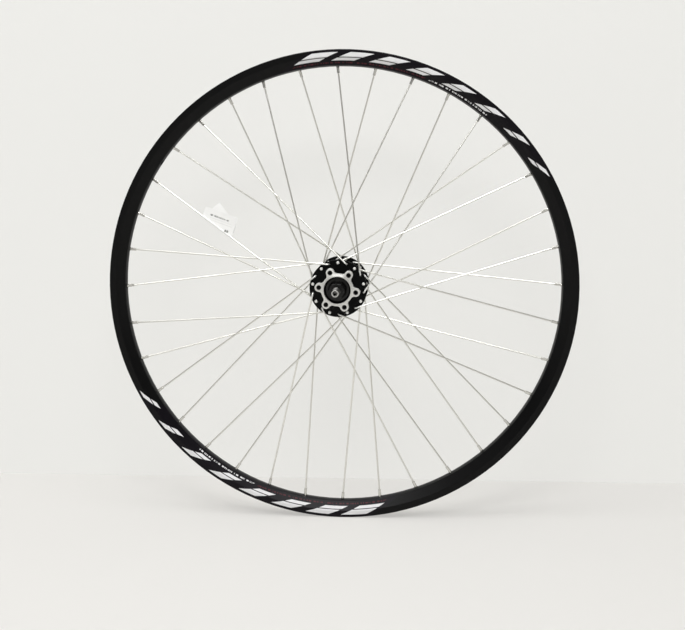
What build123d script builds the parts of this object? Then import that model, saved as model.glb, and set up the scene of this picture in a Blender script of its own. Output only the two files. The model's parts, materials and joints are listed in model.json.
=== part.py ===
from build123d import *
import os
from math import acos, asin, atan2, cos, degrees, radians, sin, tan

# Rear bicycle wheel, 26 inch, for a six-bolt disc brake, with a solid axle and no tyre.
# Millimetres. The origin is the wheel's centre. The axle lies along Y, with the disc side
# (the bicycle's left) towards -Y, and +Z is up. Angles run from +X towards +Z.
# "Offset" is a distance outwards from the wheel's middle plane, on either side.

# Rim, a double-wall extrusion
bead_seat_diameter = 559.0
bead_wall_height = 6.25
rim_height = 19.7
rim_width = 25.0
rim_wall = 1.5
rim_hook = 1.0
hook_height = 3.6
side_band_height = 8.0
side_corner_radius = 1.2
bead_seat_width = 2.9
well_depth = 2.5
well_slope_width = 2.6
bridge_thickness = 1.3
spoke_bed_width = 12.4
spoke_bed_crown = 1.2
spoke_bed_thickness = 2.5
valve_hole_diameter = 8.5
valve_angle = 145.0

# Spokes, laced three-cross
spoke_count = 36
crosses = 3
spoke_diameter = 2.0
elbow_radius = 2.8
elbow_sink = 0.5
crossing_bend_radius = 60.0
crossing_gap = 0.3
spoke_head_diameter = 3.8
spoke_head_height = 1.2
spoke_head_top_diameter = 2.6
spoke_head_edge = 0.4
spoke_head_gap = 0.35

# Nipples
nipple_length = 8.2
nipple_square = 3.25
nipple_square_corner = 0.6
nipple_neck_diameter = 3.9
nipple_neck_length = 1.4
nipple_head_diameter = 6.0
nipple_head_height = 1.8
nipple_tilt_room = 0.35
nipple_access_diameter = 9.0
thread_gap = 0.05

# Hub shell
flange_pitch_diameter = 61.4
flange_margin = 3.8
flange_thickness = 3.2
flange_taper_angle = 9.0
flange_edge_radius = 0.6
flange_hole_room = 0.6
left_flange_offset = 33.0
right_flange_offset = 21.0
barrel_waist_diameter = 31.0
barrel_end_diameter = 38.0
shell_bore_diameter = 18.0
freewheel_shoulder_offset = 30.0
freewheel_thread_diameter = 34.8
freewheel_thread_length = 11.0
thread_chamfer = 0.8

# Disc mount
disc_face_offset = 52.2
disc_mount_thickness = 8.0
disc_bolt_circle = 44.0
disc_bolt_count = 6
disc_bolt_diameter = 5.0
disc_bolt_phase = 52.0
disc_lobe_diameter = 9.8
disc_lobe_fillet = 4.4
disc_mount_wall = 3.05
disc_register_diameter = 35.0
disc_register_height = 1.6
spigot_wall = 1.0
spigot_recess = 2.4

# Bearings, cup and cone with loose balls
ball_diameter = 6.35
ball_count = 9
ball_circle_diameter = 20.0
race_gap = 0.05
race_lap = 1.4
cup_wall = 1.675
cup_floor = 1.4
cup_mouth = 3.0
cone_nose = 1.5
cone_tail = 10.5
cone_flats = 15.0
cone_flats_length = 3.5
left_ball_offset = 41.0
right_ball_offset = 35.0
seat_gap = 0.05
dust_cap_height = 2.8
dust_cap_sheet = 0.9
dust_cap_step = 1.0
dust_cap_gap = 0.6

# Axle and the nuts on it
axle_length = 175.0
axle_diameter = 10.0
axle_pitch_drop = 0.65
axle_chamfer = 0.9
axle_centre_diameter = 5.3
axle_centre_depth = 1.2
over_locknut_width = 135.0
locknut_sides = 6
locknut_width = 17.0
locknut_height = 6.5
locknut_face_diameter = 15.5
locknut_face_height = 0.4
locknut_chamfer_angle = 30.0
washer_diameter = 19.0
washer_thickness = 1.6
spacer_diameter = 16.5

# Paper label folded round one spoke, measured from the nipple along the spoke
label_angle = 150.0
label_sheet = 0.25
label_loop_gap = 0.15
label_start = 80.3
label_width = 43.6
label_front_height = 12.5
label_height = 39.3
label_skew = 16.5
label_trim_angle = 12.5

# Sizes worked out from the values above
full_turn = 360.0
rim_hole_step = full_turn / spoke_count
flange_hole_step = 2 * rim_hole_step
seat_r = bead_seat_diameter / 2
rim_r = seat_r + bead_wall_height
well_r = seat_r - well_depth
bed_r = rim_r - rim_height
bed_middle_r = bed_r + spoke_bed_thickness / 2
spoke_r = spoke_diameter / 2
flange_pitch_r = flange_pitch_diameter / 2
axle_r = axle_diameter / 2
axle_pitch_r = (axle_diameter - axle_pitch_drop) / 2
axle_bore_r = axle_pitch_r + thread_gap
ball_circle_r = ball_circle_diameter / 2
race_r = ball_diameter / 2 + race_gap
race_foot_r = ball_circle_r - race_lap
cup_r = ball_circle_r + race_r + cup_wall
cup_seat_depth = race_r + cup_floor
shell_seat_r = cup_r + seat_gap
disc_back_offset = disc_face_offset - disc_mount_thickness
spigot_end_offset = disc_face_offset - spigot_recess
spigot_r = shell_seat_r + spigot_wall
freewheel_end_offset = freewheel_shoulder_offset + freewheel_thread_length
locknut_inner_offset = over_locknut_width / 2 - locknut_height

sides = ("left", "right")
outward = {"left": -1, "right": 1}
flange_offset = {"left": left_flange_offset, "right": right_flange_offset}
ball_offset = {"left": left_ball_offset, "right": right_ball_offset}

# A section drawn as (radius, offset) on either side, and revolved about the axle
section_plane = {
    "left": Plane(origin=(0, 0, 0), x_dir=(1, 0, 0), z_dir=(0, 0, -1)),
    "right": Plane.XY,
}

pieces = {}


def polar(radius, angle, y=0.0):
    """A point at a radius and an angle about the axle."""
    return Vector(radius * cos(radians(angle)), y, radius * sin(radians(angle)))


def radial_plane(radius, angle):
    """A plane across a radius of the wheel, facing away from the axle."""
    return Plane(origin=polar(radius, angle), x_dir=(0, 1, 0), z_dir=polar(1.0, angle))


def turning_plane(angle):
    """A plane through the axle at an angle, where a section is drawn as (radius, y)."""
    return Plane(origin=(0, 0, 0), x_dir=polar(1.0, angle), z_dir=polar(1.0, angle + full_turn / 4))


def axle_plane(side, offset):
    """A plane across the axle at an offset, facing outwards."""
    return Plane(origin=(0, outward[side] * offset, 0), x_dir=(1, 0, 0), z_dir=(0, outward[side], 0))


def flange_half_thickness(radius):
    """Half the flange's thickness, which tapers towards its edge."""
    taper = tan(radians(flange_taper_angle))
    return flange_thickness / 2 - (radius - flange_pitch_r) * taper


# Rim
half_width = rim_width / 2
hook_inside = half_width - rim_wall - rim_hook
lip_r = (half_width - hook_inside) / 2
wall_inside = half_width - rim_wall
seat_inside = wall_inside - bead_seat_width
well_half = seat_inside - well_slope_width
band_foot_r = rim_r - side_band_height
bed_edge_r = bed_r + spoke_bed_crown
bed_half = spoke_bed_width / 2
slant = atan2(half_width - bed_half, band_foot_r - bed_edge_r)
cavity_floor_r = bed_r + spoke_bed_thickness
cavity_ledge_r = seat_r - bridge_thickness
cavity_top_r = well_r - bridge_thickness


def cavity_side(radius):
    """Half width of the rim's hollow where its slanted wall lies at a radius."""
    return bed_half + (radius - bed_edge_r) * tan(slant) - rim_wall / cos(slant)


rim_angles = [rim_hole_step * number for number in range(spoke_count)]
with BuildPart() as rim:
    with BuildSketch(turning_plane(rim_hole_step / 2)):
        with BuildLine():
            Polyline(
                (well_r, well_half),
                (seat_r, seat_inside),
                (seat_r, wall_inside),
                (rim_r - hook_height, wall_inside),
                (rim_r - lip_r, hook_inside),
            )
            ThreePointArc(
                (rim_r - lip_r, hook_inside),
                (rim_r, half_width - lip_r),
                (rim_r - lip_r, half_width),
            )
            FilletPolyline(
                (rim_r - lip_r, half_width),
                (band_foot_r, half_width),
                (bed_edge_r, bed_half),
                radius=side_corner_radius,
            )
            mirror(about=Plane.XZ)
            Line((well_r, -well_half), (well_r, well_half))
            ThreePointArc((bed_edge_r, -bed_half), (bed_r, 0), (bed_edge_r, bed_half))
        make_face()
        with BuildLine():
            floor_half = cavity_side(cavity_floor_r)
            Polyline(
                (cavity_floor_r, floor_half),
                (cavity_ledge_r, cavity_side(cavity_ledge_r)),
                (cavity_ledge_r, seat_inside),
                (cavity_top_r, well_half),
            )
            mirror(about=Plane.XZ)
            Line((cavity_floor_r, -floor_half), (cavity_floor_r, floor_half))
            Line((cavity_top_r, -well_half), (cavity_top_r, well_half))
        make_face(mode=Mode.SUBTRACT)
    revolve(axis=Axis.Y)
    with Locations(*[radial_plane(rim_r, angle) for angle in rim_angles]):
        CounterBoreHole(
            radius=nipple_neck_diameter / 2 + nipple_tilt_room,
            counter_bore_radius=nipple_access_diameter / 2,
            counter_bore_depth=rim_r - (cavity_floor_r + cavity_top_r) / 2,
            depth=rim_height + spoke_bed_thickness,
        )
    with Locations(radial_plane(rim_r, valve_angle)):
        Hole(radius=valve_hole_diameter / 2, depth=rim_height + spoke_bed_thickness)
pieces["rim"] = rim.part

# Hub shell, turned with both flanges and the freewheel thread on its right
flange_r = flange_pitch_r + flange_margin
barrel_r = barrel_end_diameter / 2
edge_half = flange_half_thickness(flange_r)
barrel_half = flange_half_thickness(barrel_r)
left_y = -left_flange_offset
right_y = right_flange_offset
with BuildPart() as hub_shell:
    with BuildSketch(turning_plane(rim_hole_step / 2)) as hub_section:
        with BuildLine():
            Polyline(
                (shell_bore_diameter / 2, -left_ball_offset + cup_seat_depth),
                (shell_seat_r, -left_ball_offset + cup_seat_depth),
                (shell_seat_r, -spigot_end_offset),
                (spigot_r, -spigot_end_offset),
                (spigot_r, -disc_back_offset),
                (barrel_r, -disc_back_offset),
                (barrel_r, left_y - barrel_half),
                (flange_r, left_y - edge_half),
                (flange_r, left_y + edge_half),
                (barrel_r, left_y + barrel_half),
            )
            ThreePointArc(
                (barrel_r, left_y + barrel_half),
                (barrel_waist_diameter / 2, (left_y + right_y) / 2),
                (barrel_r, right_y - barrel_half),
            )
            Polyline(
                (barrel_r, right_y - barrel_half),
                (flange_r, right_y - edge_half),
                (flange_r, right_y + edge_half),
                (barrel_r, right_y + barrel_half),
                (barrel_r, freewheel_shoulder_offset),
                (freewheel_thread_diameter / 2, freewheel_shoulder_offset),
                (freewheel_thread_diameter / 2, freewheel_end_offset - thread_chamfer),
                (freewheel_thread_diameter / 2 - thread_chamfer, freewheel_end_offset),
                (shell_seat_r, freewheel_end_offset),
                (shell_seat_r, right_ball_offset - cup_seat_depth),
                (shell_bore_diameter / 2, right_ball_offset - cup_seat_depth),
                (shell_bore_diameter / 2, -left_ball_offset + cup_seat_depth),
            )
        make_face()
        fillet(hub_section.vertices().group_by(Axis.X)[-1], radius=flange_edge_radius)
    revolve(axis=Axis.Y)
    for side in sides:
        first_hole = rim_hole_step if side == "left" else 0.0
        with BuildSketch(axle_plane(side, flange_offset[side] + barrel_half)):
            with Locations(*[
                (flange_pitch_r * cos(radians(angle)), -outward[side] * flange_pitch_r * sin(radians(angle)))
                for angle in [first_hole + flange_hole_step * number for number in range(spoke_count // 2)]
            ]):
                Circle((spoke_diameter + flange_hole_room) / 2)
        extrude(amount=-2 * barrel_half, mode=Mode.SUBTRACT)
pieces["hub_shell"] = hub_shell.part

# Disc mount, a six-lobed ring on the shell's left spigot
with BuildPart() as disc_mount:
    bolt_circle_r = disc_bolt_circle / 2
    disc_seat_r = spigot_r + seat_gap
    disc_body_r = disc_seat_r + disc_mount_wall
    with BuildSketch(axle_plane("left", disc_back_offset)) as disc_outline:
        Circle(disc_body_r)
        with PolarLocations(bolt_circle_r / 2, disc_bolt_count, start_angle=disc_bolt_phase):
            SlotCenterToCenter(bolt_circle_r, disc_lobe_diameter)
        inner_corners = disc_outline.vertices().sort_by_distance((0, 0))[:2 * disc_bolt_count]
        fillet(inner_corners, radius=disc_lobe_fillet)
        with PolarLocations(bolt_circle_r, disc_bolt_count, start_angle=disc_bolt_phase):
            Circle(disc_bolt_diameter / 2, mode=Mode.SUBTRACT)
        Circle(disc_seat_r, mode=Mode.SUBTRACT)
    extrude(amount=disc_mount_thickness)
    with BuildSketch(axle_plane("left", disc_face_offset)):
        Circle(disc_register_diameter / 2)
        Circle(disc_seat_r, mode=Mode.SUBTRACT)
    extrude(amount=disc_register_height)
pieces["disc_mount"] = disc_mount.part

# Bearings on either side
cup_arc = full_turn / 4 + degrees(asin(race_lap / race_r))
cone_arc = degrees(acos(race_lap / race_r))
for side in sides:
    ball_plane = ball_offset[side]
    mouth = ball_plane + cup_mouth
    tail = ball_plane + cone_tail

    with BuildPart() as cup:
        with BuildSketch(section_plane[side]):
            with BuildLine():
                race = CenterArc((ball_circle_r, ball_plane), race_r, 0, -cup_arc)
                Polyline(
                    race @ 1,
                    (race_foot_r, ball_plane - cup_seat_depth),
                    (cup_r, ball_plane - cup_seat_depth),
                    (cup_r, mouth),
                    (ball_circle_r + race_r, mouth),
                    race @ 0,
                )
            make_face()
        revolve(axis=Axis.Y)
    pieces[f"{side}_bearing_cup"] = cup.part

    with BuildPart(axle_plane(side, ball_plane)) as balls:
        with PolarLocations(ball_circle_r, ball_count):
            Sphere(ball_diameter / 2)
    pieces[f"{side}_bearing_balls"] = balls.part

    with BuildPart() as cone:
        with BuildSketch(section_plane[side]):
            with BuildLine():
                race = CenterArc((ball_circle_r, ball_plane), race_r, full_turn / 2, -cone_arc)
                Polyline(
                    race @ 1,
                    (race_foot_r, tail),
                    (axle_bore_r, tail),
                    (axle_bore_r, ball_plane - cone_nose),
                    (ball_circle_r - race_r, ball_plane - cone_nose),
                    race @ 0,
                )
            make_face()
        revolve(axis=Axis.Y)
        with BuildSketch(axle_plane(side, tail)):
            Rectangle(2 * cup_r, 2 * cup_r)
            Rectangle(cone_flats, 2 * cup_r, mode=Mode.SUBTRACT)
        extrude(amount=-cone_flats_length, mode=Mode.SUBTRACT)
    pieces[f"{side}_cone"] = cone.part

    with BuildPart() as dust_cap:
        cap_top = mouth + dust_cap_height
        cap_hole_r = race_foot_r + dust_cap_gap
        with BuildSketch(section_plane[side]):
            with BuildLine():
                Polyline(
                    (cup_r, mouth),
                    (cup_r, cap_top - dust_cap_step),
                    (cup_r - dust_cap_step, cap_top),
                    (cap_hole_r + 2 * dust_cap_step, cap_top),
                    (cap_hole_r, cap_top - dust_cap_step),
                    (cap_hole_r, cap_top - dust_cap_step - dust_cap_sheet),
                    (cap_hole_r + 2 * dust_cap_step, cap_top - dust_cap_sheet),
                    (cup_r - dust_cap_step - dust_cap_sheet / 2, cap_top - dust_cap_sheet),
                    (cup_r - dust_cap_sheet, cap_top - dust_cap_step - dust_cap_sheet / 2),
                    (cup_r - dust_cap_sheet, mouth),
                    (cup_r, mouth),
                )
            make_face()
        revolve(axis=Axis.Y)
    pieces[f"{side}_dust_cap"] = dust_cap.part

    with BuildPart() as washer:
        with BuildSketch(axle_plane(side, tail)):
            Circle(washer_diameter / 2)
            Circle(axle_bore_r, mode=Mode.SUBTRACT)
        extrude(amount=washer_thickness)
    pieces[f"{side}_washer"] = washer.part

    with BuildPart() as spacer:
        with BuildSketch(axle_plane(side, tail + washer_thickness)):
            Circle(spacer_diameter / 2)
            Circle(axle_bore_r, mode=Mode.SUBTRACT)
        extrude(amount=locknut_inner_offset - tail - washer_thickness)
    pieces[f"{side}_spacer"] = spacer.part

    with BuildPart() as locknut:
        hex_end = over_locknut_width / 2 - locknut_face_height
        corner_r = locknut_width / 2 / cos(radians(full_turn / locknut_sides / 2))
        chamfer_drop = (corner_r - locknut_width / 2) * tan(radians(locknut_chamfer_angle))
        with BuildSketch(axle_plane(side, locknut_inner_offset)):
            RegularPolygon(locknut_width / 2, locknut_sides, major_radius=False)
            Circle(axle_bore_r, mode=Mode.SUBTRACT)
        extrude(amount=locknut_height - locknut_face_height)
        with BuildSketch(section_plane[side]):
            with BuildLine():
                Polyline(
                    (locknut_width / 2, hex_end),
                    (corner_r + chamfer_drop, hex_end),
                    (corner_r + chamfer_drop, hex_end - chamfer_drop),
                    (corner_r, hex_end - chamfer_drop),
                    (locknut_width / 2, hex_end),
                )
            make_face()
        revolve(axis=Axis.Y, mode=Mode.SUBTRACT)
        with BuildSketch(axle_plane(side, hex_end)):
            Circle(locknut_face_diameter / 2)
            Circle(axle_bore_r, mode=Mode.SUBTRACT)
        extrude(amount=locknut_face_height)
    pieces[f"{side}_locknut"] = locknut.part

# Axle, a solid threaded rod with chamfered and centred ends. The thread is drawn at its crests
# on the free ends, and at its pitch diameter where the cones and nuts are screwed on it.
with BuildPart() as axle:
    end = axle_length / 2
    nut_face = over_locknut_width / 2
    with BuildSketch(Plane.XY):
        with BuildLine():
            Polyline(
                (0, 0),
                (axle_pitch_r, 0),
                (axle_pitch_r, nut_face),
                (axle_r, nut_face),
                (axle_r, end - axle_chamfer),
                (axle_r - axle_chamfer, end),
                (axle_centre_diameter / 2, end),
                (0, end - axle_centre_depth),
                close=True,
            )
        make_face()
    revolve(axis=Axis.Y)
    mirror(about=Plane.XZ)
pieces["axle"] = axle.part

# Lacing: the order of the spokes round the rim, as the flange that each comes from, the way it
# leans (+1 towards larger angles) and whether it runs outside its flange (+1) or inside (-1)
lacing_order = (("right", -1, -1), ("left", 1, 1), ("right", 1, 1), ("left", -1, -1))
lean_angle = crosses * flange_hole_step
cross_angle = lean_angle - rim_hole_step


def spoke_route(number):
    """The plane that a spoke lies in, and its wire's points there as (along, outwards)."""
    side, lean, run = lacing_order[number % len(lacing_order)]
    rim_angle = rim_angles[number]
    hub_point = polar(flange_pitch_r, rim_angle - lean * lean_angle)
    rim_point = polar(bed_middle_r, rim_angle)
    along = rim_point - hub_point
    length = along.length
    outwards = Vector(0, outward[side], 0)
    plane = Plane(
        origin=hub_point + outwards * flange_offset[side],
        x_dir=along.normalized(),
        z_dir=along.normalized().cross(outwards),
    )
    slope = tan(radians(cross_angle))
    reach = bed_middle_r * sin(radians(lean_angle))
    drop = bed_middle_r * cos(radians(lean_angle)) - flange_pitch_r
    crossing = flange_pitch_r * slope / (reach - slope * drop)
    weave = run * (spoke_diameter + crossing_gap) / 2
    face = flange_thickness / 2
    points = (
        (0, -run * (face + spoke_head_gap)),
        (0, run * (face + elbow_radius - elbow_sink)),
        (crossing * length, -crossing * flange_offset[side] - weave),
        (length, -flange_offset[side]),
    )
    return plane, points


def nipple_seat(plane, points):
    """The spoke's end at the middle of the rim's bed, and its direction there, away from the hub."""
    rim_end = plane.from_local_coords(points[-1])
    return rim_end, (rim_end - plane.from_local_coords(points[-2])).normalized()


nipple_planes = []
for number in range(spoke_count):
    plane, points = spoke_route(number)
    rim_end, rim_direction = nipple_seat(plane, points)
    nipple_planes.append(Plane(origin=rim_end, x_dir=(0, 1, 0), z_dir=rim_direction))
    head_seat = points[0][1]
    head_way = 1 if head_seat > 0 else -1
    head_top = head_seat + head_way * spoke_head_height
    head_edge = head_seat + head_way * spoke_head_edge
    head_r = spoke_head_diameter / 2

    with BuildPart() as spoke:
        with BuildLine(plane) as wire:
            FilletPolyline(*points, radius=[elbow_radius, crossing_bend_radius])
        with BuildSketch(Plane(origin=wire.line @ 0, z_dir=wire.line % 0)):
            Circle(spoke_r)
        sweep()
        with BuildSketch(plane):
            with BuildLine():
                Polyline(
                    (0, head_seat),
                    (head_r, head_seat),
                    (head_r, head_edge),
                    (spoke_head_top_diameter / 2, head_top),
                    (0, head_top),
                    (0, head_seat),
                )
            make_face()
        revolve(axis=Axis(plane.origin, (0, 1, 0)))
    pieces[f"spoke_{number + 1:02d}"] = spoke.part

# Nipples, one for each spoke
with BuildPart() as nipple:
    bed_half_thickness = spoke_bed_thickness / 2
    neck_r = nipple_neck_diameter / 2
    nipple_head_r = nipple_head_diameter / 2
    head_foot = bed_half_thickness + nipple_tilt_room + nipple_head_r - neck_r
    head_top = head_foot + nipple_head_height
    with BuildSketch(Plane.XZ):
        with BuildLine():
            Polyline(
                (spoke_r + thread_gap, -bed_half_thickness - nipple_neck_length),
                (neck_r, -bed_half_thickness - nipple_neck_length),
                (neck_r, bed_half_thickness + nipple_tilt_room),
                (nipple_head_r, head_foot),
                (nipple_head_r, head_top - nipple_head_height / 2),
                (neck_r, head_top),
                (spoke_r + thread_gap, head_top),
                (spoke_r + thread_gap, -bed_half_thickness - nipple_neck_length),
            )
        make_face()
    revolve(axis=Axis.Z)
    with BuildSketch(Plane.XY.offset(-bed_half_thickness - nipple_length)):
        RectangleRounded(nipple_square, nipple_square, nipple_square_corner)
        Circle(spoke_r + thread_gap, mode=Mode.SUBTRACT)
    extrude(amount=nipple_length - nipple_neck_length)

with BuildPart() as nipples:
    with Locations(*nipple_planes):
        add(nipple.part)
pieces["nipples"] = nipples.part

# Paper label, folded askew round a spoke with its two flaps stuck together, the back one trimmed
label_spoke_plane, label_spoke_points = spoke_route(round(label_angle / rim_hole_step))
label_end, label_direction = nipple_seat(label_spoke_plane, label_spoke_points)
label_plane = Plane(
    origin=label_end,
    x_dir=-label_direction,
    z_dir=label_spoke_plane.z_dir.cross(label_direction),
)
label_lean = tan(radians(label_skew))
label_rise = label_width * sin(radians(label_skew))
fold_end = label_start + label_width / cos(radians(label_skew))
front_height = label_front_height * cos(radians(label_skew))
back_height = (label_height - label_front_height) * cos(radians(label_skew))
label_trim = tan(radians(label_trim_angle))
back_far_height = (
    back_height * (1 + label_lean ** 2) - label_lean * (fold_end - label_start)
) / (1 - label_lean * label_trim)
loop_inner_r = spoke_r + label_loop_gap
flap_foot = loop_inner_r + label_sheet / 2
flaps = (
    (-1, front_height, front_height + label_rise, -label_lean),
    (1, back_height, back_far_height, -label_trim),
)
with BuildPart() as paper_label:
    with BuildSketch(Plane(origin=label_plane.from_local_coords((label_start, 0)), z_dir=label_plane.x_dir)):
        Circle(loop_inner_r + label_sheet)
        Circle(loop_inner_r, mode=Mode.SUBTRACT)
    extrude(amount=fold_end - label_start)
    for turn, near_height, far_height, far_lean in flaps:
        with BuildSketch(label_plane):
            with BuildLine():
                Polyline(
                    (label_start + turn * label_lean * flap_foot, flap_foot),
                    (label_start + turn * label_lean * near_height, near_height),
                    (fold_end + far_lean * far_height, far_height),
                    (fold_end + far_lean * flap_foot, flap_foot),
                    close=True,
                )
            make_face()
        extrude(amount=-turn * label_sheet)
pieces["paper_label"] = paper_label.part

os.makedirs("parts", exist_ok=True)
for label, piece in pieces.items():
    piece.label = label
    export_step(piece, f"parts/{label}.step")
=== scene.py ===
import json
from math import cos, hypot, pi, radians, sin, tan

import bmesh
import bpy
from mathutils import Matrix, Vector


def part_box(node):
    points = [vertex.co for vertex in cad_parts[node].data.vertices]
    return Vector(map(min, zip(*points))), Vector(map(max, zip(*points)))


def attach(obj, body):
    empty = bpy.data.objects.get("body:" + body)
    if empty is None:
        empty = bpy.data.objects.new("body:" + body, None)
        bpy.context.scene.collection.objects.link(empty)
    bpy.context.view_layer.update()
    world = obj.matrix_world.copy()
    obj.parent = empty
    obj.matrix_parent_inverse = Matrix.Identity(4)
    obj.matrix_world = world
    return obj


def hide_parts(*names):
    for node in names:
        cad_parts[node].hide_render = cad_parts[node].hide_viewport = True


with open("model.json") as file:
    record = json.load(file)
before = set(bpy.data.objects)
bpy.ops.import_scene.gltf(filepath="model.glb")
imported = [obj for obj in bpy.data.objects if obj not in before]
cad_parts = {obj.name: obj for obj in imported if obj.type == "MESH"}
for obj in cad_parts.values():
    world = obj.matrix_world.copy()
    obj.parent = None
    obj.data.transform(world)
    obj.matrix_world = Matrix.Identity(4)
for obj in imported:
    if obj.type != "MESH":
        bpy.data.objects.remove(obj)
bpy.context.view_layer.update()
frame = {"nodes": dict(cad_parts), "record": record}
nodes = frame["nodes"]
MM = 0.001

# The photograph's view: place in metres, turn in degrees, lens in millimetres, and how far the frame lies off
# the axis
CAMERA_PLACE = (0.0901, -1.3199, 0.1466)
CAMERA_TURN = (86.29, 0.782, 5.874)
CAMERA_LENS = 57.0
CAMERA_SHIFT = (0.06, -0.115)

# Room, in metres: the wheel stands on the floor, close in front of a wall, with other walls far off
ROOM_HALF = 4.0
WALL_BEHIND = 0.155

# Paint of the room: its colour under the lamps, its even colour to the eye, and the share of the even one,
# which is larger on the floor behind the near wall. The far walls turn dark between two heights in metres.
FLOOR_LIT = (0.70, 0.69, 0.665, 1)
FLOOR_SEEN = (0.855, 0.84, 0.81, 1)
FLOOR_EVEN = 0.55
FLOOR_EVEN_BEHIND = 0.82
WALL_LIT = (0.855, 0.85, 0.825, 1)
WALL_SEEN = (0.87, 0.865, 0.833, 1)
WALL_EVEN = 0.75
FAR_PALE = (0.83, 0.815, 0.785, 1)
FAR_DARK = (0.26, 0.256, 0.25, 1)
PALE_HEIGHT = 0.1
DARK_HEIGHT = 0.9
PAINT_ROUGH = 0.9
PATCH_SCALE = 1.5
PATCH_RANGE = (0.97, 1.03)

# Lamps: place, the point they face, and size in metres, and power in watts. The sky adds a little.
KEY_PLACE = (0, -1.75, 1.75)
KEY_TARGET = (0, 0, 0)
KEY_SIZE = (1.2, 0.6)
KEY_POWER = 24
CEILING_PLACE = (-0.5, -0.75, 2.3)
CEILING_TARGET = (-0.5, -0.6, 0)
CEILING_SIZE = (2.8, 1.4)
CEILING_POWER = 50
SKY_STRENGTH = 0.05

# Colours of the wheel. Marks on the surface mix the two colours of a pair.
RIM_BLACKS = ((0.0008, 0.0008, 0.0009, 1), (0.0017, 0.0017, 0.0019, 1))
PRINT_GROUND = (0.003, 0.002, 0.004, 1)
PRINT_RED = (0.075, 0.012, 0.018, 1)
PRINT_WHITE = (0.84, 0.84, 0.85, 1)
HUB_BLACKS = ((0.0012, 0.0012, 0.0014, 1), (0.003, 0.003, 0.0032, 1))
BEARING_GREYS = ((0.36, 0.35, 0.33, 1), (0.56, 0.55, 0.53, 1))
STEEL_BLACKS = ((0.022, 0.022, 0.023, 1), (0.045, 0.044, 0.043, 1))
MOUNT_SILVERS = ((0.80, 0.795, 0.765, 1), (0.94, 0.94, 0.925, 1))
MOUTH_DARK = (0.035, 0.034, 0.032, 1)
WIRE_GREYS = ((0.75, 0.745, 0.69, 1), (0.85, 0.845, 0.805, 1))
HEAD_PALE_SHEEN = (0.90, 0.90, 0.88, 1)
NICKEL_GREYS = ((0.54, 0.535, 0.495, 1), (0.72, 0.715, 0.685, 1))
BALL_GREYS = ((0.60, 0.59, 0.55, 1), (0.74, 0.74, 0.73, 1))
AXLE_DARKS = ((0.025, 0.024, 0.023, 1), (0.055, 0.053, 0.05, 1))
AXLE_BRIGHT = (0.58, 0.575, 0.56, 1)
PAPER_WHITES = ((0.94, 0.94, 0.925, 1), (0.975, 0.975, 0.96, 1))
PAPER_FAINT = (0.55, 0.55, 0.53, 1)
PAPER_INK = (0.16, 0.16, 0.15, 1)

# Rim print, in degrees round the rim and millimetres from the axle: leaning bars that grow thinner, each with
# a dark line along it, and a row of fine dashes under them. A bar's start and widths are shares of the pitch,
# and the dashes' stretches are shares of the sweep. The bars keep off the tyre's channel, which lies within
# a half width and outside a radius.
PRINT_START = 32.0
PRINT_SWEEP = 71.0
PRINT_END_SOFT = 0.03
PRINT_EDGE_SOFT = 0.1
BAR_INNER = 272.4
BAR_OUTER = 282.2
BAR_PITCH = 8.9
BAR_LEAN = 0.5
BAR_START = 0.03
BAR_WIDE = 0.80
BAR_THIN = 0.22
BAR_SOFT = 0.008
BAR_LINE = (275.6, 276.5)
CHANNEL_HALF = 11.5
CHANNEL_HALF_SOFT = 0.2
CHANNEL_FLOOR = 276.0
CHANNEL_FLOOR_SOFT = 0.05
DASH_INNER = 269.2
DASH_OUTER = 270.7
DASH_PITCH = 0.62
DASH_SOFT = 0.02
WHITE_DASHES = (0.22, 0.46)
RED_DASHES = (0.48, 0.96)

# Level of a noise above which a stroke is printed
STROKE_LEVEL = 0.5

# Disc bolts, in millimetres and degrees
BOLT_CIRCLE = 22.0
BOLT_STEP = 60.0
BOLT_PHASE = 52.0
BOLT_MOUTH = 2.85
BOLT_MOUTH_SOFT = 0.12

# Radius about the axle, in millimetres, within which the spokes' heads and elbows lie
HEAD_REACH = 34.0
HEAD_SOFT = 1.0

# Axle thread, in millimetres. The ridge is drawn in shares of the pitch and the depth, and starts some spare
# turns inside the nut. Points merge within a share of the pitch, and the core is short by another share.
THREAD_PITCH = 1.0
THREAD_DEPTH = 0.55
THREAD_RIDGE = ((0.0, 1.0), (0.06, 0.94), (0.44, 0.0), (0.56, 0.0), (0.94, 0.94), (1.0, 1.0))
THREAD_STEPS = 28
THREAD_SPARE = 3
THREAD_MERGE = 0.02
CORE_SHORT = 0.1
AXLE_CHAMFER = 0.9
AXLE_SMOOTH_DEGREES = 38
CENTRE_RADIUS = 2.85
CENTRE_WALL = 0.3
CENTRE_DEPTH = 0.6

# Where the axle is rubbed bright, in millimetres, and how much of the bright colour shows there. The hollow
# centre's share is painted light, standing in for light through a hollow axle.
CREST_RADIUS = 4.78
CREST_SOFT = 0.12
CREST_SHARE = 0.12
CENTRE_PAINTED_LIGHT = 0.2
FACE_REACH = 87.3
FACE_RADIUS = 4.2
FACE_SOFT = 0.05

# Paper label, in millimetres: its spoke's place round the rim, the way along that spoke to the hub, and the
# way up from it. The sheet is folded round the spoke askew, with a short side in front, and its end trimmed.
LABEL_ANGLE = radians(150.0)
LABEL_RIM_RADIUS = 267.3
LABEL_AT = Vector((cos(LABEL_ANGLE), 0.0, sin(LABEL_ANGLE))) * LABEL_RIM_RADIUS
LABEL_ALONG = Vector((0.801278, -0.135824, -0.582672))
LABEL_UP = Vector((-LABEL_ALONG.z, 0.0, LABEL_ALONG.x)).normalized()
LABEL_START = 80.3
LABEL_WIDE = 43.6
LABEL_TALL = 39.3
LABEL_FRONT = 12.5
LABEL_SKEW = radians(16.5)
LABEL_TRIM = radians(12.5)
LABEL_SHEET = 0.16
LABEL_GRID = (16, 14)
LABEL_SMOOTH_DEGREES = 40
SHEET_SLACK = 1e-5

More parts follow.
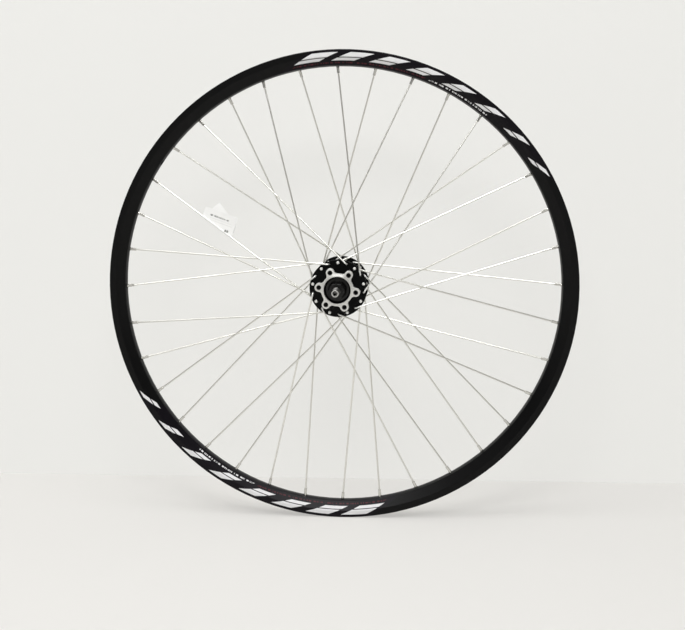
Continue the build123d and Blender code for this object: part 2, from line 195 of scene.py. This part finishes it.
# The label's fold, in millimetres: a loop round the spoke that closes but for an angle, past which both sides
# settle on each other and bow apart
LABEL_LOOP = 1.28
LABEL_LOOP_STEPS = 6
LABEL_LOOP_OPEN = 0.12 * pi
LABEL_SETTLE = 3.0
LABEL_CURL = 1.4
LABEL_CURL_START = 1.6

# Label print, in millimetres of the sheet: left, right, top and bottom of each block
LABEL_UV = 50.0
LABEL_ROW = (9.0, 35.0, 6.3, 8.2)
LABEL_ROW_STROKES = 0.42
LABEL_ROW_SOFT = 0.03
LABEL_MARKS = ((32.6, 34.2, 18.6, 21.4), (35.2, 37.0, 18.6, 21.4))
LABEL_LINES = ((9.0, 38.0, 10.3, 10.8), (11.0, 40.0, 12.9, 13.5))
LABEL_LINE_SHARE = 0.4
LABEL_INK_SOFT = 0.08


# Shader nodes

def feed(tree, socket, value):
    """Links a socket to another one, or sets its value."""
    if isinstance(value, bpy.types.NodeSocket):
        tree.links.new(value, socket)
    elif value is not None:
        socket.default_value = value


def add_node(tree, kind, *inputs, **settings):
    """A node with its settings, fed from the first input on."""
    made = tree.nodes.new(kind)
    for name, value in settings.items():
        setattr(made, name, value)
    for socket, value in zip(made.inputs, inputs):
        feed(tree, socket, value)
    return made


def calc(tree, operation, first, second=None, third=None):
    """One sum on values."""
    return add_node(tree, "ShaderNodeMath", first, second, third, operation=operation).outputs[0]


def above(tree, value, limit, soft):
    """1 where a value lies above a limit, with a soft edge, and 0 elsewhere."""
    edge = calc(tree, "SUBTRACT", limit, soft), calc(tree, "ADD", limit, soft)
    return add_node(tree, "ShaderNodeMapRange", value, *edge).outputs[0]


def below(tree, value, limit, soft):
    """1 where a value lies below a limit, with a soft edge, and 0 elsewhere."""
    return calc(tree, "SUBTRACT", 1.0, above(tree, value, limit, soft))


def between(tree, value, low, high, soft):
    """1 where a value lies between two limits, with soft edges, and 0 elsewhere."""
    return calc(tree, "SUBTRACT", above(tree, value, low, soft), above(tree, value, high, soft))


def tint(tree, share, first, second):
    """A colour between two colours."""
    mix = add_node(tree, "ShaderNodeMix", data_type="RGBA")
    feed(tree, mix.inputs["Factor"], share)
    feed(tree, mix.inputs[6], first)
    feed(tree, mix.inputs[7], second)
    return mix.outputs[2]


def noise(tree, vector, scale, detail=2.0, rough=0.5):
    """Noise from 0 to 1."""
    made = add_node(tree, "ShaderNodeTexNoise", vector)
    feed(tree, made.inputs["Scale"], scale)
    feed(tree, made.inputs["Detail"], detail)
    feed(tree, made.inputs["Roughness"], rough)
    return made.outputs[0]


def line_noise(tree, way, detail=2.0):
    """Noise from 0 to 1 that changes along one way only, about once in each unit of it."""
    made = add_node(tree, "ShaderNodeTexNoise", noise_dimensions="1D")
    feed(tree, made.inputs["W"], way)
    feed(tree, made.inputs["Scale"], 1.0)
    feed(tree, made.inputs["Detail"], detail)
    return made.outputs[0]


def scaled(tree, value, low, high):
    """A value from 0 to 1 spread over another range."""
    return add_node(tree, "ShaderNodeMapRange", value, 0.0, 1.0, low, high).outputs[0]


def start_group(name, inputs, outputs):
    """An empty node group with named sockets, and its two end nodes."""
    tree = bpy.data.node_groups.new(name, "ShaderNodeTree")
    for label, kind, value in inputs:
        socket = tree.interface.new_socket(name=label, in_out="INPUT", socket_type=f"NodeSocket{kind}")
        if value is not None:
            socket.default_value = value
    for label in outputs:
        tree.interface.new_socket(name=label, in_out="OUTPUT", socket_type="NodeSocketFloat")
    return tree, tree.nodes.new("NodeGroupInput").outputs, tree.nodes.new("NodeGroupOutput").inputs


def wheel_polar_group():
    """Where a point lies about the axle: radius and height across in millimetres, angle in degrees."""
    outputs = ["Radius", "Angle", "Across"]
    tree, given, wanted = start_group("wheel polar", [("Vector", "Vector", None)], outputs)
    spot = add_node(tree, "ShaderNodeVectorMath", given["Vector"], operation="SCALE")
    spot.inputs["Scale"].default_value = 1 / MM
    parts = add_node(tree, "ShaderNodeSeparateXYZ", spot.outputs[0]).outputs
    square = calc(tree, "ADD", calc(tree, "POWER", parts[0], 2.0), calc(tree, "POWER", parts[2], 2.0))
    feed(tree, wanted["Radius"], calc(tree, "SQRT", square))
    turn = calc(tree, "DEGREES", calc(tree, "ARCTAN2", parts[2], parts[0]))
    feed(tree, wanted["Angle"], calc(tree, "FLOORED_MODULO", turn, 360.0))
    feed(tree, wanted["Across"], parts[1])
    return tree


def turned_rings_group():
    """Fine rings that a lathe leaves round the axle."""
    inputs = [("Radius", "Float", 0.0), ("Across", "Float", 0.0), ("Per mm", "Float", 3.0)]
    tree, given, wanted = start_group("turned rings", inputs, ["Rings"])
    way = calc(tree, "ADD", given["Radius"], given["Across"])
    feed(tree, wanted["Rings"], line_noise(tree, calc(tree, "MULTIPLY", way, given["Per mm"]), detail=3.0))
    return tree


def handling_group():
    """What hands and wear leave on a surface: broad smudges and a fine grain."""
    inputs = [("Vector", "Vector", None), ("Smudge scale", "Float", 40.0), ("Grain scale", "Float", 1800.0)]
    tree, given, wanted = start_group("handling", inputs, ["Smudge", "Grain"])
    smudge = noise(tree, given["Vector"], given["Smudge scale"], detail=4.0, rough=0.6)
    feed(tree, wanted["Smudge"], smudge)
    feed(tree, wanted["Grain"], noise(tree, given["Vector"], given["Grain scale"]))
    return tree


def rim_print_group():
    """Leaning bars round the rim that grow thinner, with fine dashes under them."""
    inputs = [("Radius", "Float", 0.0), ("Angle", "Float", 0.0)]
    tree, given, wanted = start_group("rim print", inputs, ["Bars", "White dashes", "Red dashes", "Ground"])
    radius = given["Radius"]
    lean = calc(tree, "MULTIPLY", calc(tree, "SUBTRACT", radius, BAR_INNER), BAR_LEAN)
    along = calc(tree, "ADD", calc(tree, "SUBTRACT", given["Angle"], PRINT_START), lean)
    steps = calc(tree, "DIVIDE", along, BAR_PITCH)
    share = calc(tree, "DIVIDE", calc(tree, "MULTIPLY", calc(tree, "FLOOR", steps), BAR_PITCH), PRINT_SWEEP)
    bar_end = calc(tree, "ADD", scaled(tree, share, BAR_THIN, BAR_WIDE), BAR_START)
    bar = between(tree, calc(tree, "FRACT", steps), BAR_START, bar_end, BAR_SOFT)
    tall = between(tree, radius, BAR_INNER, BAR_OUTER, PRINT_EDGE_SOFT)
    ends = between(tree, along, 0.0, PRINT_SWEEP, PRINT_END_SOFT)
    line = between(tree, radius, *BAR_LINE, PRINT_EDGE_SOFT)
    bars = calc(tree, "MULTIPLY", calc(tree, "MULTIPLY", bar, tall), calc(tree, "SUBTRACT", ends, line))
    feed(tree, wanted["Bars"], add_node(tree, "ShaderNodeClamp", bars).outputs[0])
    strokes = line_noise(tree, calc(tree, "DIVIDE", given["Angle"], DASH_PITCH))
    dashes = above(tree, strokes, STROKE_LEVEL, DASH_SOFT)
    row = calc(tree, "MULTIPLY", between(tree, radius, DASH_INNER, DASH_OUTER, PRINT_EDGE_SOFT), dashes)
    for label, stretch in (("White dashes", WHITE_DASHES), ("Red dashes", RED_DASHES)):
        first, last = [PRINT_SWEEP * part for part in stretch]
        part_of_row = calc(tree, "MULTIPLY", row, between(tree, along, first, last, PRINT_END_SOFT))
        feed(tree, wanted[label], part_of_row)
    feed(tree, wanted["Ground"], ends)
    return tree


WHEEL_POLAR = wheel_polar_group()
TURNED_RINGS = turned_rings_group()
HANDLING = handling_group()
RIM_PRINT = rim_print_group()


# Materials

def start_material(name, metallic=0.0):
    """A new material with its shader and the point's place on the object."""
    material = bpy.data.materials.new(name)
    material.use_nodes = True
    tree = material.node_tree
    shader = tree.nodes["Principled BSDF"]
    shader.inputs["Metallic"].default_value = metallic
    place = add_node(tree, "ShaderNodeTexCoord").outputs["Object"]
    return material, tree, shader, place


def use_group(tree, group, **inputs):
    """A group placed in a material. An input's name has _ for each space."""
    made = tree.nodes.new("ShaderNodeGroup")
    made.node_tree = group
    for label, value in inputs.items():
        feed(tree, made.inputs[label.replace("_", " ")], value)
    return made.outputs


def bump(tree, shader, height, distance, strength):
    """Raises a surface by a height from 0 to 1, over a distance in metres."""
    raised = add_node(tree, "ShaderNodeBump")
    raised.inputs["Strength"].default_value = strength
    raised.inputs["Distance"].default_value = distance
    feed(tree, raised.inputs["Height"], height)
    feed(tree, shader.inputs["Normal"], raised.outputs[0])


def black_rim_material():
    """Black satin rim with leaning white bars printed on both sides."""
    material, tree, shader, place = start_material("black_rim")
    shader.inputs["Specular IOR Level"].default_value = 0.16
    polar = use_group(tree, WHEEL_POLAR, Vector=place)
    half_turn = calc(tree, "FLOORED_MODULO", polar["Angle"], 180.0)
    printed = use_group(tree, RIM_PRINT, Radius=polar["Radius"], Angle=half_turn)
    beside = above(tree, calc(tree, "ABSOLUTE", polar["Across"]), CHANNEL_HALF, CHANNEL_HALF_SOFT)
    under = below(tree, polar["Radius"], CHANNEL_FLOOR, CHANNEL_FLOOR_SOFT)
    bars = calc(tree, "MULTIPLY", printed["Bars"], calc(tree, "MAXIMUM", beside, under))
    ink = calc(tree, "MAXIMUM", bars, printed["White dashes"])
    marks = use_group(tree, HANDLING, Vector=place, Smudge_scale=18.0, Grain_scale=1500.0)
    ground = tint(tree, printed["Ground"], tint(tree, marks["Smudge"], *RIM_BLACKS), PRINT_GROUND)
    reddened = tint(tree, printed["Red dashes"], ground, PRINT_RED)
    feed(tree, shader.inputs["Base Color"], tint(tree, ink, reddened, PRINT_WHITE))
    feed(tree, shader.inputs["Roughness"], scaled(tree, marks["Smudge"], 0.30, 0.40))
    bump(tree, shader, marks["Grain"], distance=0.00002, strength=0.5)
    return material


def turned_surface(tree, place, polar):
    """A turned piece's rings, and a share that mixes rings and smudges evenly."""
    rings = use_group(tree, TURNED_RINGS, Radius=polar["Radius"], Across=polar["Across"])["Rings"]
    marks = use_group(tree, HANDLING, Vector=place, Smudge_scale=120.0, Grain_scale=2600.0)
    share = calc(tree, "MULTIPLY", calc(tree, "ADD", rings, marks["Smudge"]), 0.5)
    return rings, share


def turned_metal_material(name, colours, metallic, rough, ring_depth, gloss=0.5):
    """Metal turned on a lathe, with fine rings and handling marks."""
    material, tree, shader, place = start_material(name, metallic)
    shader.inputs["Specular IOR Level"].default_value = gloss
    polar = use_group(tree, WHEEL_POLAR, Vector=place)
    rings, share = turned_surface(tree, place, polar)
    feed(tree, shader.inputs["Base Color"], tint(tree, share, *colours))
    feed(tree, shader.inputs["Roughness"], scaled(tree, share, *rough))
    bump(tree, shader, rings, distance=ring_depth, strength=0.6)
    return material


def bolt_mouths(tree, polar):
    """1 within the mouths of the disc bolts' threads, and 0 elsewhere."""
    turn = calc(tree, "SUBTRACT", polar["Angle"], BOLT_PHASE - BOLT_STEP / 2)
    aside = calc(tree, "SUBTRACT", calc(tree, "FLOORED_MODULO", turn, BOLT_STEP), BOLT_STEP / 2)
    angle = calc(tree, "RADIANS", aside)
    ahead = calc(tree, "MULTIPLY", polar["Radius"], calc(tree, "COSINE", angle))
    out = calc(tree, "SUBTRACT", ahead, BOLT_CIRCLE)
    side = calc(tree, "MULTIPLY", polar["Radius"], calc(tree, "SINE", angle))
    square = calc(tree, "ADD", calc(tree, "POWER", out, 2.0), calc(tree, "POWER", side, 2.0))
    return below(tree, calc(tree, "SQRT", square), BOLT_MOUTH, BOLT_MOUTH_SOFT)


def disc_mount_material():
    """Bare turned aluminium, which shines in two sectors, and is painted darker in the mouths of its threads.
    """
    material, tree, shader, place = start_material("disc_mount_turned", metallic=1.0)
    polar = use_group(tree, WHEEL_POLAR, Vector=place)
    rings, share = turned_surface(tree, place, polar)
    silver = tint(tree, share, *MOUNT_SILVERS)
    # The mouths of the bolts' threads are painted darker.
    feed(tree, shader.inputs["Base Color"], tint(tree, bolt_mouths(tree, polar), silver, MOUTH_DARK))
    feed(tree, shader.inputs["Roughness"], scaled(tree, share, 0.32, 0.48))
    shader.inputs["Anisotropic"].default_value = 0.8
    shader.inputs["Anisotropic Rotation"].default_value = 0.25
    around = add_node(tree, "ShaderNodeTangent", direction_type="RADIAL", axis="Y").outputs[0]
    feed(tree, shader.inputs["Tangent"], around)
    bump(tree, shader, rings, distance=0.00003, strength=0.6)
    return material


def spoke_wire_material():
    """Drawn stainless wire, with heads that are rougher from stamping, and paler, partly from their finish
    and partly as a painted highlight.
    """
    material, tree, shader, place = start_material("spoke_wire", metallic=1.0)
    marks = use_group(tree, HANDLING, Vector=place, Smudge_scale=90.0, Grain_scale=3200.0)
    polar = use_group(tree, WHEEL_POLAR, Vector=place)
    stamped_and_sheen = below(tree, polar["Radius"], HEAD_REACH, HEAD_SOFT)
    drawn = tint(tree, marks["Smudge"], *WIRE_GREYS)
    # Heads and elbows are painted paler, partly for their rough stamp finish and partly as a painted
    # highlight.
    feed(tree, shader.inputs["Base Color"], tint(tree, stamped_and_sheen, drawn, HEAD_PALE_SHEEN))
    drawn_rough = scaled(tree, marks["Grain"], 0.24, 0.34)
    feed(tree, shader.inputs["Roughness"], calc(tree, "MULTIPLY_ADD", stamped_and_sheen, 0.24, drawn_rough))
    bump(tree, shader, marks["Smudge"], distance=0.00002, strength=0.3)
    return material


def plated_brass_material():
    """Nickel plate on brass, a little warm."""
    material, tree, shader, place = start_material("nickel_plate", metallic=1.0)
    marks = use_group(tree, HANDLING, Vector=place, Smudge_scale=150.0, Grain_scale=2400.0)
    feed(tree, shader.inputs["Base Color"], tint(tree, marks["Smudge"], *NICKEL_GREYS))
    feed(tree, shader.inputs["Roughness"], scaled(tree, marks["Grain"], 0.16, 0.28))
    bump(tree, shader, marks["Grain"], distance=0.00001, strength=0.3)
    return material


def polished_ball_material():
    """Polished and greased bearing balls."""
    material, tree, shader, place = start_material("polished_ball", metallic=1.0)
    marks = use_group(tree, HANDLING, Vector=place, Smudge_scale=300.0, Grain_scale=3000.0)
    feed(tree, shader.inputs["Base Color"], tint(tree, marks["Smudge"], *BALL_GREYS))
    feed(tree, shader.inputs["Roughness"], scaled(tree, marks["Smudge"], 0.05, 0.14))
    return material


def axle_thread_material():
    """Dark oiled thread, with crests and a face that are rubbed bright, and a hollow centre with painted
    light, as if seen through a hollow axle.
    """
    material, tree, shader, place = start_material("axle_thread", metallic=1.0)
    polar = use_group(tree, WHEEL_POLAR, Vector=place)
    radius = polar["Radius"]
    marks = use_group(tree, HANDLING, Vector=place, Smudge_scale=260.0, Grain_scale=2600.0)
    crest = calc(tree, "MULTIPLY", above(tree, radius, CREST_RADIUS, CREST_SOFT), CREST_SHARE)
    end = above(tree, calc(tree, "ABSOLUTE", polar["Across"]), FACE_REACH, FACE_SOFT)
    face = calc(tree, "MULTIPLY", end, between(tree, radius, CENTRE_RADIUS, FACE_RADIUS, FACE_SOFT))
    # The hollow centre is painted lighter: painted light, standing in for light through a hollow axle.
    hollow = below(tree, radius, CENTRE_RADIUS - CENTRE_WALL, FACE_SOFT)
    centre = calc(tree, "MULTIPLY", hollow, CENTRE_PAINTED_LIGHT)
    bright = calc(tree, "MAXIMUM", calc(tree, "MAXIMUM", crest, face), centre)
    dark = tint(tree, marks["Smudge"], *AXLE_DARKS)
    feed(tree, shader.inputs["Base Color"], tint(tree, bright, dark, AXLE_BRIGHT))
    feed(tree, shader.inputs["Roughness"], scaled(tree, marks["Grain"], 0.26, 0.42))
    bump(tree, shader, marks["Grain"], distance=0.00002, strength=0.5)
    return material


def label_paper_material():
    """White paper with fine fibres, and rows of grey bars laid along the sheet."""
    material, tree, shader, place = start_material("label_paper")
    marks = use_group(tree, HANDLING, Vector=place, Smudge_scale=60.0, Grain_scale=1600.0)
    sheet = add_node(tree, "ShaderNodeUVMap", uv_map="sheet").outputs[0]
    spread = add_node(tree, "ShaderNodeVectorMath", sheet, operation="SCALE")
    spread.inputs["Scale"].default_value = LABEL_UV
    across, down = add_node(tree, "ShaderNodeSeparateXYZ", spread.outputs[0]).outputs[:2]

    def block(left, right, top, bottom):
        """A printed rectangle of the sheet."""
        wide = between(tree, across, left, right, LABEL_INK_SOFT)
        return calc(tree, "MULTIPLY", wide, between(tree, down, top, bottom, LABEL_INK_SOFT))

    strokes = line_noise(tree, calc(tree, "MULTIPLY", across, LABEL_ROW_STROKES))
    dark = calc(tree, "MULTIPLY", block(*LABEL_ROW), above(tree, strokes, STROKE_LEVEL, LABEL_ROW_SOFT))
    for mark in LABEL_MARKS:
        dark = calc(tree, "ADD", dark, block(*mark))
    first_line, second_line = [block(*line) for line in LABEL_LINES]
    faint = calc(tree, "MULTIPLY", calc(tree, "ADD", first_line, second_line), LABEL_LINE_SHARE)
    lined = tint(tree, faint, tint(tree, marks["Smudge"], *PAPER_WHITES), PAPER_FAINT)
    feed(tree, shader.inputs["Base Color"], tint(tree, dark, lined, PAPER_INK))
    feed(tree, shader.inputs["Roughness"], scaled(tree, marks["Grain"], 0.6, 0.8))
    bump(tree, shader, marks["Grain"], distance=0.00003, strength=0.5)
    return material


def wall_paint_material(name, lit, seen, even, even_behind, high=None):
    """Pale matt paint, seen only from the wheel's side, that lets lamps shine through. It is evened out to
    the eye, by another share behind the near wall. A last colour takes over with height."""
    material, tree, shader, place = start_material(name)
    back, height = add_node(tree, "ShaderNodeSeparateXYZ", place).outputs[1:]
    rise = add_node(tree, "ShaderNodeMapRange", height, PALE_HEIGHT, DARK_HEIGHT).outputs[0]
    patches = add_node(tree, "ShaderNodeVectorMath", tint(tree, rise, lit, high or lit), operation="SCALE")
    feed(tree, patches.inputs["Scale"], scaled(tree, noise(tree, place, PATCH_SCALE), *PATCH_RANGE))
    feed(tree, shader.inputs["Base Color"], patches.outputs[0])
    shader.inputs["Roughness"].default_value = PAINT_ROUGH
    path = add_node(tree, "ShaderNodeLightPath").outputs
    mirrored = calc(tree, "MAXIMUM", path["Is Glossy Ray"], path["Is Transmission Ray"])
    eye = calc(tree, "MAXIMUM", path["Is Camera Ray"], mirrored)
    even_here = scaled(tree, calc(tree, "GREATER_THAN", back, WALL_BEHIND), even, even_behind)
    glow = add_node(tree, "ShaderNodeEmission", tint(tree, rise, seen, high or seen), 1.0).outputs[0]
    even_share = calc(tree, "MULTIPLY", eye, even_here)
    evened = add_node(tree, "ShaderNodeMixShader", even_share, shader.outputs[0], glow).outputs[0]
    clear = add_node(tree, "ShaderNodeBsdfTransparent").outputs[0]
    behind = add_node(tree, "ShaderNodeNewGeometry").outputs["Backfacing"]
    open_way = calc(tree, "MAXIMUM", behind, path["Is Shadow Ray"])
    surface = add_node(tree, "ShaderNodeMixShader", open_way, evened, clear).outputs[0]
    feed(tree, tree.nodes["Material Output"].inputs["Surface"], surface)
    return material


axle_thread = axle_thread_material()
label_paper = label_paper_material()
floor_paint = wall_paint_material("floor_paint", FLOOR_LIT, FLOOR_SEEN, FLOOR_EVEN, FLOOR_EVEN_BEHIND)
wall_paint = wall_paint_material("wall_paint", WALL_LIT, WALL_SEEN, WALL_EVEN, WALL_EVEN)
far_paint = wall_paint_material("far_paint", FAR_PALE, FAR_PALE, WALL_EVEN, WALL_EVEN, high=FAR_DARK)

finish_of_slot = {
    "black_rim": black_rim_material(),
    "black_hub": turned_metal_material(
        "black_hub", HUB_BLACKS, metallic=0.0, rough=(0.24, 0.36), ring_depth=0.00002, gloss=0.08),
    "silver_aluminium": disc_mount_material(),
    "spoke_steel": spoke_wire_material(),
    "nipple_brass": plated_brass_material(),
    "bearing_steel": turned_metal_material(
        "bearing_steel", BEARING_GREYS, metallic=1.0, rough=(0.18, 0.30), ring_depth=0.00001),
    "ball_steel": polished_ball_material(),
    "axle_steel": axle_thread,
    "black_steel": turned_metal_material(
        "black_steel", STEEL_BLACKS, metallic=1.0, rough=(0.26, 0.42), ring_depth=0.00002),
    "white_paper": label_paper,
}
for piece in frame["record"]["subparts"]:
    node_mesh = nodes[piece["node"]].data
    node_mesh.materials.clear()
    node_mesh.materials.append(finish_of_slot[piece["material_slot"]])


# New pieces

def make_piece(name, bm, material, smooth_angle=None):
    """An object at the origin from a finished bmesh."""
    mesh = bpy.data.meshes.new(name)
    bm.to_mesh(mesh)
    bm.free()
    mesh.materials.append(material)
    if smooth_angle is not None:
        mesh.shade_smooth()
        mesh.set_sharp_from_angle(angle=radians(smooth_angle))
    piece = bpy.data.objects.new(name, mesh)
    bpy.context.scene.collection.objects.link(piece)
    return piece


def whole(bm):
    """All that a bmesh holds."""
    return bm.verts[:] + bm.edges[:] + bm.faces[:]


def chain(bm, points):
    """Vertices joined in a row by edges."""
    verts = [bm.verts.new(point) for point in points]
    edges = [bm.edges.new(pair) for pair in zip(verts, verts[1:])]
    return verts + edges


def closed_cut(bm, point, normal):
    """Cuts a bmesh off beyond a plane, and gives the face that closes the cut."""
    made = bmesh.ops.bisect_plane(
        bm, geom=whole(bm), dist=1e-7, plane_co=point, plane_no=normal, clear_outer=True)
    edge_loop = [item for item in made["geom_cut"] if isinstance(item, bmesh.types.BMEdge)]
    return bmesh.ops.contextual_create(bm, geom=edge_loop)["faces"][0]


def threaded_axle():
    """The axle with its thread cut on both free ends, which are chamfered and centred."""
    axle_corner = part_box("axle")[1]
    end = axle_corner.y
    crest = axle_corner.x
    depth = THREAD_DEPTH * MM
    pitch = THREAD_PITCH * MM
    nut_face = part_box("right_locknut")[1].y
    first = nut_face - THREAD_SPARE * pitch
    turns = int((end - first) / pitch) + THREAD_SPARE
    bm = bmesh.new()
    ridge = chain(bm, [(crest - depth * drop, first + pitch * way, 0) for way, drop in THREAD_RIDGE])
    bmesh.ops.spin(bm, geom=ridge, cent=(0, 0, 0), axis=(0, 1, 0), dvec=(0, pitch / THREAD_STEPS, 0),
                   angle=2 * pi * turns, steps=THREAD_STEPS * turns, use_merge=False)
    bmesh.ops.remove_doubles(bm, verts=bm.verts[:], dist=pitch * THREAD_MERGE)
    bmesh.ops.recalc_face_normals(bm, faces=bm.faces[:])
    closed_cut(bm, (0, nut_face - pitch / 2, 0), (0, -1, 0))
    end_face = closed_cut(bm, (0, end, 0), (0, 1, 0))
    for vert in bm.verts:
        reach = hypot(vert.co.x, vert.co.z)
        limit = crest - AXLE_CHAMFER * MM + end - vert.co.y
        if reach > limit:
            vert.co.x *= limit / reach
            vert.co.z *= limit / reach
    bmesh.ops.recalc_face_normals(bm, faces=bm.faces[:])
    face_width = crest - (AXLE_CHAMFER + CENTRE_RADIUS) * MM
    bmesh.ops.inset_region(bm, faces=[end_face], thickness=face_width, use_even_offset=True)
    bmesh.ops.inset_region(
        bm, faces=[end_face], thickness=CENTRE_WALL * MM, depth=-CENTRE_DEPTH * MM, use_even_offset=True)
    other_end = bmesh.ops.duplicate(bm, geom=whole(bm))["geom"]
    other_verts = [item for item in other_end if isinstance(item, bmesh.types.BMVert)]
    bmesh.ops.rotate(bm, verts=other_verts, cent=(0, 0, 0), matrix=Matrix.Rotation(pi, 3, "Z"))
    core = crest - depth / 2
    bmesh.ops.create_cone(
        bm, cap_ends=True, segments=2 * THREAD_STEPS, radius1=core, radius2=core,
        depth=2 * nut_face - pitch * CORE_SHORT, matrix=Matrix.Rotation(pi / 2, 4, "X"))
    piece = make_piece("threaded_axle", bm, axle_thread, smooth_angle=AXLE_SMOOTH_DEGREES)
    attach(piece, "axle_set")
    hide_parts("axle")


def folded_label():
    """A paper sheet folded askew round its spoke, with both sides bowed a little apart."""
    columns, rows = LABEL_GRID
    bm = bmesh.new()
    bmesh.ops.create_grid(bm, x_segments=columns, y_segments=rows, size=0.5)
    bmesh.ops.scale(bm, verts=bm.verts[:], vec=(LABEL_WIDE, LABEL_TALL, 1))
    bmesh.ops.translate(bm, verts=bm.verts[:], vec=(LABEL_WIDE / 2, LABEL_TALL / 2 - LABEL_FRONT, 0))
    across_fold = Vector((-sin(LABEL_SKEW), cos(LABEL_SKEW), 0))
    along_fold = Vector((cos(LABEL_SKEW), sin(LABEL_SKEW), 0))
    for step in range(-LABEL_LOOP_STEPS, LABEL_LOOP_STEPS + 1):
        crease = across_fold * (LABEL_LOOP * step / LABEL_LOOP_STEPS)
        bmesh.ops.bisect_plane(bm, geom=whole(bm), dist=SHEET_SLACK, plane_co=crease, plane_no=across_fold)
    fold_end = along_fold * (LABEL_WIDE / cos(LABEL_SKEW))
    trim_way = along_fold + across_fold * tan(LABEL_TRIM)
    bmesh.ops.bisect_plane(
        bm, geom=whole(bm), dist=SHEET_SLACK, plane_co=fold_end, plane_no=trim_way, clear_outer=True)
    print_layer = bm.loops.layers.uv.new("sheet")
    for face in bm.faces:
        for loop in face.loops:
            spot = loop.vert.co
            loop[print_layer].uv = (spot.x / LABEL_UV, (spot.y + LABEL_FRONT) / LABEL_UV)
    front_way = LABEL_ALONG.cross(LABEL_UP)
    for vert in bm.verts:
        along = vert.co.dot(along_fold)
        reach = vert.co.dot(across_fold)
        turn = max(-1, min(1, reach / LABEL_LOOP)) * (pi - LABEL_LOOP_OPEN)
        flap = max(0, abs(reach) - LABEL_LOOP)
        height = flap - LABEL_LOOP * cos(turn)
        settle = max(0, 1 - flap / LABEL_SETTLE)
        bow = LABEL_CURL * (flap / LABEL_TALL) ** 2 * (LABEL_CURL_START + along / LABEL_WIDE)
        side = -1 if reach > 0 else 1
        front = side * (LABEL_SHEET * (1 - settle) + bow) - LABEL_LOOP * sin(turn) * settle ** 2
        on_spoke = LABEL_AT + LABEL_ALONG * (LABEL_START + along)
        vert.co = (on_spoke + LABEL_UP * height + front_way * front) * MM
    bmesh.ops.recalc_face_normals(bm, faces=bm.faces[:])
    bmesh.ops.solidify(bm, geom=bm.faces[:], thickness=LABEL_SHEET * MM)
    piece = make_piece("folded_label", bm, label_paper, smooth_angle=LABEL_SMOOTH_DEGREES)
    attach(piece, "wheel")
    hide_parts("paper_label")


threaded_axle()
folded_label()


# Room, light and camera

def room():
    """Floor and walls that face inwards: one wall close behind the wheel, and the others far round it."""
    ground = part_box("rim")[0].z
    level = Matrix.Translation((0, 0, ground))
    floor = bmesh.new()
    bmesh.ops.create_grid(floor, x_segments=1, y_segments=1, size=ROOM_HALF, matrix=level)
    make_piece("floor", floor, floor_paint)
    near_wall = bmesh.new()
    upright = Matrix.Translation((0, WALL_BEHIND, ground)) @ Matrix.Rotation(pi / 2, 4, "X")
    bmesh.ops.create_grid(near_wall, x_segments=1, y_segments=1, size=ROOM_HALF, matrix=upright)
    make_piece("near_wall", near_wall, wall_paint)
    walls = bmesh.new()
    bmesh.ops.create_cube(walls, size=2 * ROOM_HALF, matrix=level)
    ends = [face for face in walls.faces if abs(face.normal.z) > 0.5]
    bmesh.ops.delete(walls, geom=ends, context="FACES")
    bmesh.ops.reverse_faces(walls, faces=walls.faces[:])
    make_piece("far_walls", walls, far_paint)


def lamp(name, place, target, size, power):
    """A soft rectangular lamp that faces a point."""
    light = bpy.data.lights.new(name, "AREA")
    light.shape = "RECTANGLE"
    light.size, light.size_y = size
    light.energy = power
    holder = bpy.data.objects.new(name, light)
    holder.location = place
    holder.rotation_euler = (Vector(target) - Vector(place)).to_track_quat("-Z", "Y").to_euler()
    bpy.context.scene.collection.objects.link(holder)


def photo_camera():
    """The camera at the photograph's place."""
    data = bpy.data.cameras.new("photo_camera")
    data.lens = CAMERA_LENS
    data.shift_x, data.shift_y = CAMERA_SHIFT
    camera = bpy.data.objects.new("photo_camera", data)
    camera.location = CAMERA_PLACE
    camera.rotation_euler = [radians(turn) for turn in CAMERA_TURN]
    bpy.context.scene.collection.objects.link(camera)
    bpy.context.scene.camera = camera


def sky():
    """Dim even light from all round."""
    world = bpy.data.worlds.new("studio")
    world.use_nodes = True
    background = world.node_tree.nodes["Background"]
    background.inputs["Color"].default_value = (1, 1, 1, 1)
    background.inputs["Strength"].default_value = SKY_STRENGTH
    bpy.context.scene.world = world


room()
sky()
lamp("key", KEY_PLACE, KEY_TARGET, KEY_SIZE, KEY_POWER)
lamp("ceiling", CEILING_PLACE, CEILING_TARGET, CEILING_SIZE, CEILING_POWER)
photo_camera()
bpy.context.scene.view_settings.view_transform = "Standard"
